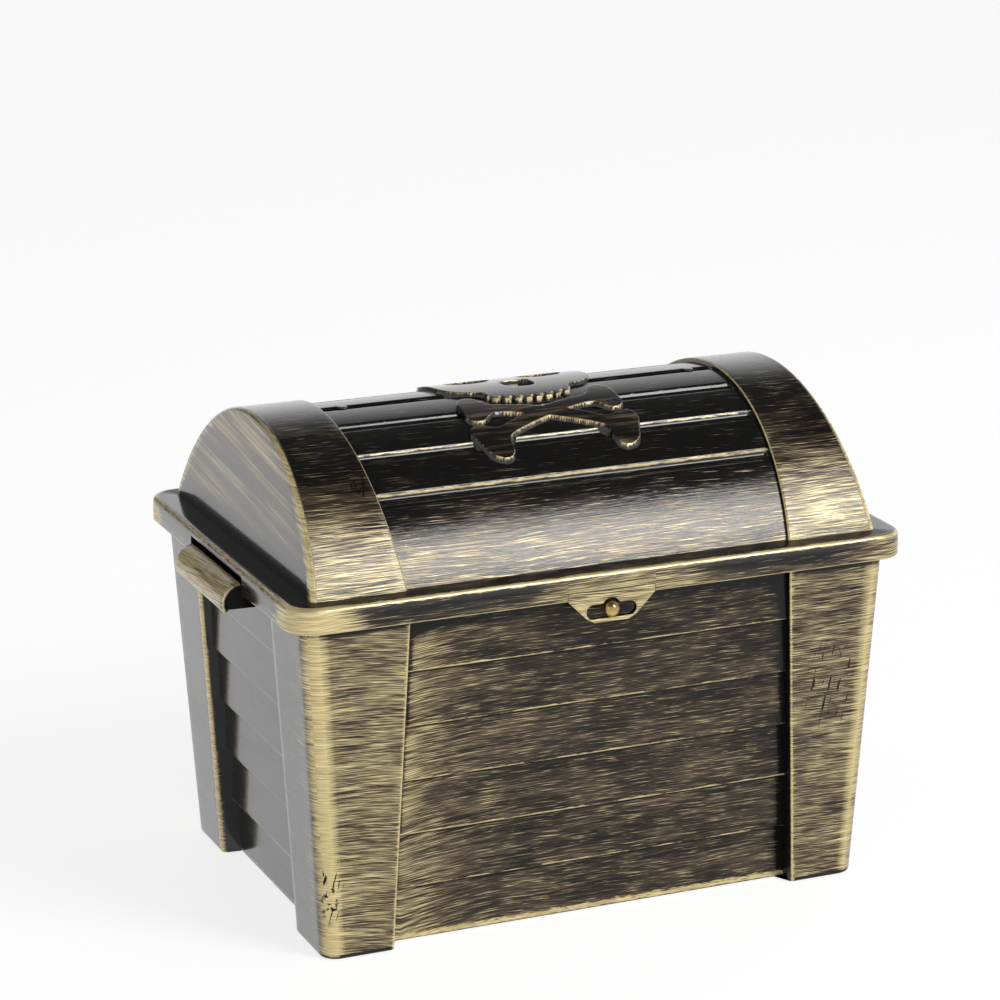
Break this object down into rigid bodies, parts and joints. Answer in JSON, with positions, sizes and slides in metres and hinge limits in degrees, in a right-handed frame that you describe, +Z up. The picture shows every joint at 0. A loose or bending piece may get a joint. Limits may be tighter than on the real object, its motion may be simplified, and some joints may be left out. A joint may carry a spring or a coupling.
{
  "type": "treasure chest box",
  "caption": "Small moulded chest with plank walls, corner posts and a domed lid that swings on back hinges and snaps shut over a front ball stud.",
  "frame": {"origin": "on the table under the middle of the chest", "axes": "+X to the chest's right end seen from its front, +Y to its back where the hinges are, +Z up"},
  "size_m": [0.1482, 0.1, 0.108],
  "materials": {
    "brushed_gold_on_black": "glossy black plastic with dry-brushed antique gold",
    "bright_gold": "glossy plastic with solid antique gold",
    "pin_steel": "plain drawn wire"
  },
  "bodies": {
    "base": {"base_tub": "brushed_gold_on_black", "handle_left": "brushed_gold_on_black", "handle_right": "brushed_gold_on_black", "latch_stud": "bright_gold", "hinge_pin_left": "pin_steel", "hinge_pin_right": "pin_steel"},
    "lid": {"lid_shell": "brushed_gold_on_black"},
    "latch": {"latch_tab": "brushed_gold_on_black"}
  },
  "joints": [
    {"name": "lid_hinge", "type": "hinge", "parent": "base", "child": "lid", "pos_m": [0, 0.0477, 0.0711], "axis": [-1, 0, 0], "range_deg": [0, 105]},
    {"name": "latch_flex", "type": "hinge", "parent": "lid", "child": "latch", "pos_m": [0, -0.0485, 0.0755], "axis": [-1, 0, 0], "range_deg": [0, 30], "stiffness_Nm_per_rad": 0.005}
  ]
}
